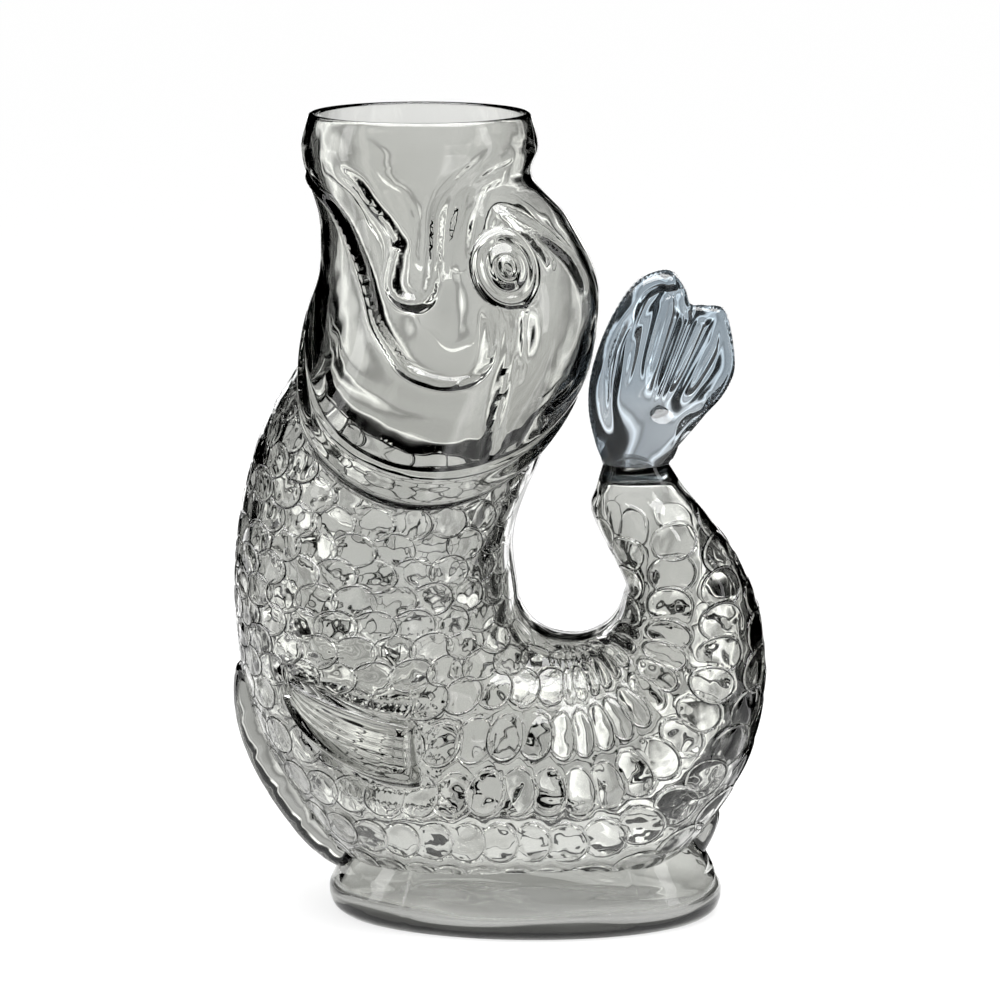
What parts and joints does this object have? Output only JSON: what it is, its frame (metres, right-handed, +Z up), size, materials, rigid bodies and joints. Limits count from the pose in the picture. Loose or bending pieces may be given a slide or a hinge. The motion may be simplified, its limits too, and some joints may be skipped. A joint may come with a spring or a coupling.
{
  "type": "gurgle jug",
  "caption": "Fish-shaped hollow glass pouring jug with an open mouth, an oval foot, a curled tail as its handle and a solid fin fused on the tail.",
  "frame": {"origin": "middle of the oval foot, on the table it stands on", "axes": "+Z up, +X from the belly to the tail, Y across the fish from flank to flank"},
  "size_m": [0.1605, 0.0942, 0.24],
  "materials": {
    "smoke_glass": "gloss",
    "tail_glass": "gloss"
  },
  "bodies": {
    "root": {"jug_body": "smoke_glass", "tail_fin": "tail_glass"}
  },
  "joints": []
}
